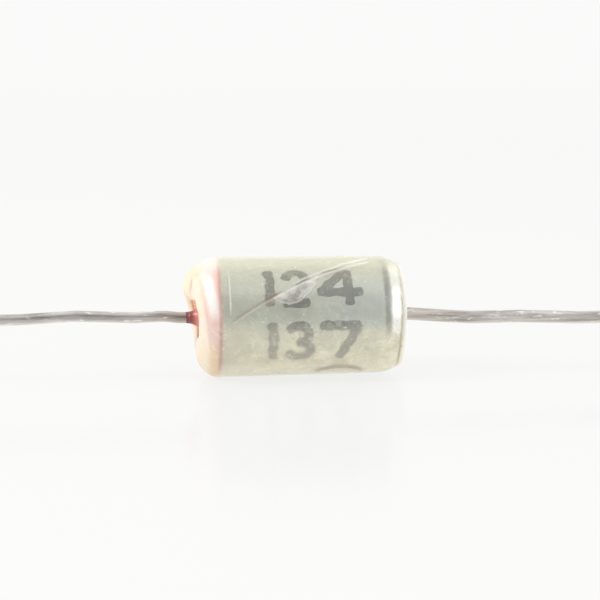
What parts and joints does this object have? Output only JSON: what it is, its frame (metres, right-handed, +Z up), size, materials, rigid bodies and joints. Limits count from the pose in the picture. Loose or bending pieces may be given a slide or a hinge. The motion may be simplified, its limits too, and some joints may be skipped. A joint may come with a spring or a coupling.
{
  "type": "axial tantalum capacitor",
  "caption": "Small axial-lead solid tantalum capacitor: a round metal can sealed with red resin, in a clear film sleeve, with a straight wire lead at each end.",
  "frame": {"origin": "on the body axis, half-way along the can and between the tips of the two leads", "axes": "+X along the body axis, from the anode (sealed) end to the cathode (closed) end; +Z up as the part lies on its side; the printed side faces -Y"},
  "size_m": [0.0346, 0.005, 0.005],
  "materials": {
    "can": "drawn metal, satin grey",
    "sleeve": "clear film, yellowed and slightly milky",
    "end_seal": "cast red resin, glossy",
    "anode_lead": "tinned wire, dulled grey-brown",
    "cathode_lead": "tinned wire, dulled grey",
    "anode_pellet": "sintered tantalum, matt",
    "riser_wire": "tantalum wire",
    "riser_washer": "white fluoropolymer",
    "riser_weld": "welded metal",
    "manganese_coat": "manganese dioxide, black and matt",
    "graphite_coat": "graphite, dark grey",
    "silver_coat": "silver paint, matt",
    "can_solder": "tin-lead solder"
  },
  "bodies": {
    "root": {"can": "can", "sleeve": "sleeve", "end_seal": "end_seal", "anode_lead": "anode_lead", "cathode_lead": "cathode_lead", "anode_pellet": "anode_pellet", "riser_wire": "riser_wire", "riser_washer": "riser_washer", "riser_weld": "riser_weld", "manganese_coat": "manganese_coat", "graphite_coat": "graphite_coat", "silver_coat": "silver_coat", "can_solder": "can_solder"}
  },
  "joints": []
}
